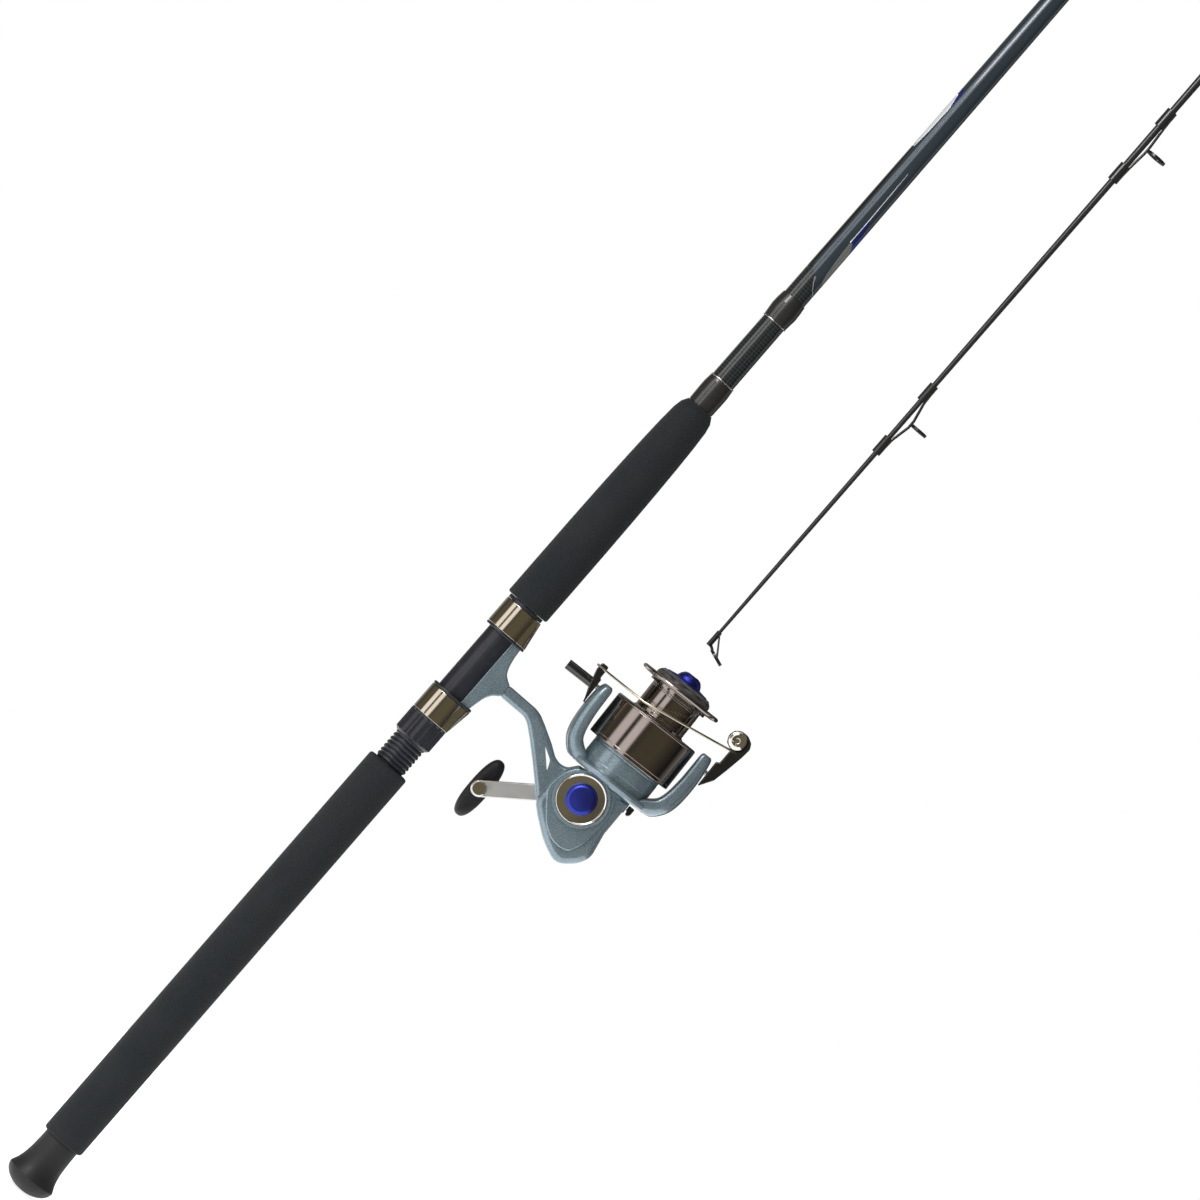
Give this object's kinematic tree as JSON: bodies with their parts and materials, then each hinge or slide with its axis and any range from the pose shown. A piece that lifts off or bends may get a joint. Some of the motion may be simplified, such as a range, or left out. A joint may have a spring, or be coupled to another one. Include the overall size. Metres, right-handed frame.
{
  "type": "spinning rod and reel",
  "caption": "Two-piece spinning fishing rod with foam grips and a screw-down reel seat, carrying a fixed-spool reel, with its tip section lying alongside.",
  "frame": {"origin": "centre of the flat end of the butt cap", "axes": "+Z along the butt section from its butt cap to its joint, +X from the rod towards the reel, +Y towards the side of the reel that its handle is on"},
  "size_m": [0.2169, 0.1781, 1.8858],
  "materials": {
    "grip_foam": "matte",
    "black_rubber": "matte",
    "carbon_blank": "gloss",
    "slate_blank": "gloss",
    "black_gloss": "gloss",
    "black_plastic": "satin",
    "nickel": "polished",
    "silver_trim": "polished",
    "slate_paint": "metallic",
    "spool_metal": "polished",
    "chrome": "polished",
    "blue_anodised": "anodised",
    "drag_grey": "satin",
    "wire": "polished",
    "brass": "machined",
    "steel": "machined",
    "satin_silver": "satin",
    "ceramic": "gloss",
    "felt": "matte"
  },
  "bodies": {
    "rod_and_reel_frame": {"butt_cap": "black_rubber", "butt_blank": "carbon_blank", "spigot": "carbon_blank", "rear_grip": "grip_foam", "foregrip": "grip_foam", "seat_barrel": "black_plastic", "fixed_hood": "nickel", "fixed_hood_rim": "black_plastic", "fore_wrap": "black_gloss", "lower_trim_ring": "silver_trim", "upper_trim_ring": "silver_trim", "upper_wrap": "black_gloss", "reel_body": "slate_paint", "side_cover": "slate_paint", "side_dish": "chrome", "drive_bearing_left": "steel", "drive_bearing_right": "steel", "pinion_bearing": "steel", "clutch_bearing": "steel"},
    "sliding_hood": {"sliding_hood": "nickel", "sliding_hood_rim": "black_plastic"},
    "seat_nut": {"seat_nut": "black_plastic"},
    "rotor": {"rotor": "slate_paint", "rotor_nut": "steel", "pinion_gear": "brass", "bail_screw_small": "steel", "bail_screw_roller": "steel"},
    "bail": {"bail_arm_small": "black_gloss", "bail_arm_roller": "black_gloss", "bail_wire": "wire", "roller_cover": "chrome"},
    "line_roller": {"line_roller": "chrome"},
    "spool": {"spool": "spool_metal", "drag_washer_stack": "felt", "main_shaft": "steel", "oscillation_slider": "brass"},
    "drag_knob": {"drag_knob": "drag_grey", "drag_knob_insert": "blue_anodised"},
    "handle": {"drive_gear": "brass", "handle_shank": "satin_silver", "handle_cap": "blue_anodised", "handle_arm": "satin_silver", "knob_spindle": "chrome"},
    "handle_knob": {"handle_knob": "black_rubber"},
    "oscillation_gear": {"oscillation_gear": "brass"},
    "anti_reverse_lever": {"anti_reverse_lever": "black_gloss"},
    "tip_section": {"tip_blank": "slate_blank", "ferrule_sleeve": "slate_blank", "tip_top_frame": "black_gloss", "tip_top_ring": "ceramic", "guide_1_frame": "black_gloss", "guide_1_ring": "ceramic", "guide_2_frame": "black_gloss", "guide_2_ring": "ceramic", "guide_3_frame": "black_gloss", "guide_3_ring": "ceramic", "guide_4_frame": "black_gloss", "guide_4_ring": "ceramic"}
  },
  "joints": [
    {"name": "hood_slide", "type": "slide", "parent": "rod_and_reel_frame", "child": "sliding_hood", "axis": [0, 0, 1], "range_m": [-0.02, 0]},
    {"name": "nut_turn", "type": "hinge", "parent": "sliding_hood", "child": "seat_nut", "pos_m": [0, 0, 0.4455], "axis": [0, 0, 1], "range_deg": [-2000, 0]},
    {"name": "rotor_spin", "type": "hinge", "parent": "rod_and_reel_frame", "child": "rotor", "pos_m": [0.1334, 0, 0.51675], "axis": [-0.0454, 0, 0.999], "continuous": true},
    {"name": "bail_open", "type": "hinge", "parent": "rotor", "child": "bail", "pos_m": [0.131, 0, 0.56969], "axis": [-0.999, 0, -0.0454], "range_deg": [0, 118]},
    {"name": "line_roller_spin", "type": "hinge", "parent": "bail", "child": "line_roller", "pos_m": [0.18501, 0, 0.60578], "axis": [0, 1, 0], "continuous": true},
    {"name": "spool_slide", "type": "slide", "parent": "rod_and_reel_frame", "child": "spool", "axis": [-0.0454, 0, 0.999], "range_m": [0, 0.022]},
    {"name": "drag_knob_turn", "type": "hinge", "parent": "spool", "child": "drag_knob", "pos_m": [0.12932, 0, 0.60666], "axis": [-0.0454, 0, 0.999], "range_deg": [-1080, 360]},
    {"name": "handle_turn", "type": "hinge", "parent": "rod_and_reel_frame", "child": "handle", "pos_m": [0.12525, 0.02, 0.4965], "axis": [0, 1, 0], "continuous": true},
    {"name": "handle_knob_spin", "type": "hinge", "parent": "handle", "child": "handle_knob", "pos_m": [0.0626, 0.085, 0.4494], "axis": [0, 1, 0], "continuous": true},
    {"name": "oscillation_gear_spin", "type": "hinge", "parent": "rod_and_reel_frame", "child": "oscillation_gear", "pos_m": [0.13602, 0, 0.48271], "axis": [0, 1, 0], "continuous": true},
    {"name": "anti_reverse_lever_turn", "type": "hinge", "parent": "rod_and_reel_frame", "child": "anti_reverse_lever", "pos_m": [0.156, 0, 0.5137], "axis": [1, 0, 0], "range_deg": [0, 25]},
    {"name": "tip_section_slide", "type": "slide", "parent": "rod_and_reel_frame", "child": "tip_section", "axis": [0, 0, 1], "range_m": [0, 0.4]}
  ],
  "couplings": [
    {"joint": "nut_turn", "follows": "hood_slide", "rad_per_m": 1745.3},
    {"joint": "handle_turn", "follows": "rotor_spin", "ratio": -0.20408},
    {"joint": "oscillation_gear_spin", "follows": "rotor_spin", "ratio": 0.12439}
  ]
}
